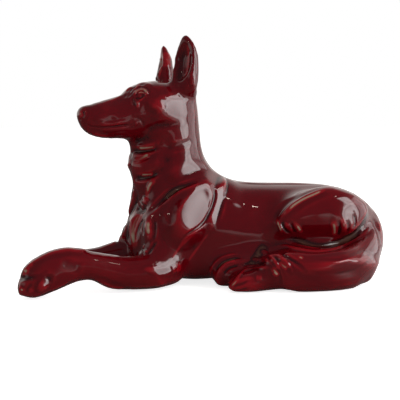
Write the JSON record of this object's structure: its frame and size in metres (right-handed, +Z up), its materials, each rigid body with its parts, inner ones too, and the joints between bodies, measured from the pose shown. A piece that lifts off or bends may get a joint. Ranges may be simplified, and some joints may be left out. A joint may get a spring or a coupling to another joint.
{
  "type": "dog figurine",
  "caption": "Large slip-cast earthenware figurine of a shepherd dog lying with its head up, glazed oxblood red.",
  "frame": {"origin": "centre of the figure's footprint box, on the surface that it stands on", "axes": "+X from the nose towards the rump along the dog's length, +Y towards the dog's right side, +Z up"},
  "size_m": [0.362, 0.152, 0.2425],
  "materials": {
    "oxblood_glaze": "gloss"
  },
  "bodies": {
    "root": {"trunk": "oxblood_glaze", "head_and_neck": "oxblood_glaze", "left_ear": "oxblood_glaze", "right_ear": "oxblood_glaze", "left_foreleg": "oxblood_glaze", "right_foreleg": "oxblood_glaze", "left_haunch": "oxblood_glaze", "right_haunch": "oxblood_glaze", "tail": "oxblood_glaze", "left_hind_foot": "oxblood_glaze", "right_hind_foot": "oxblood_glaze"}
  },
  "joints": []
}
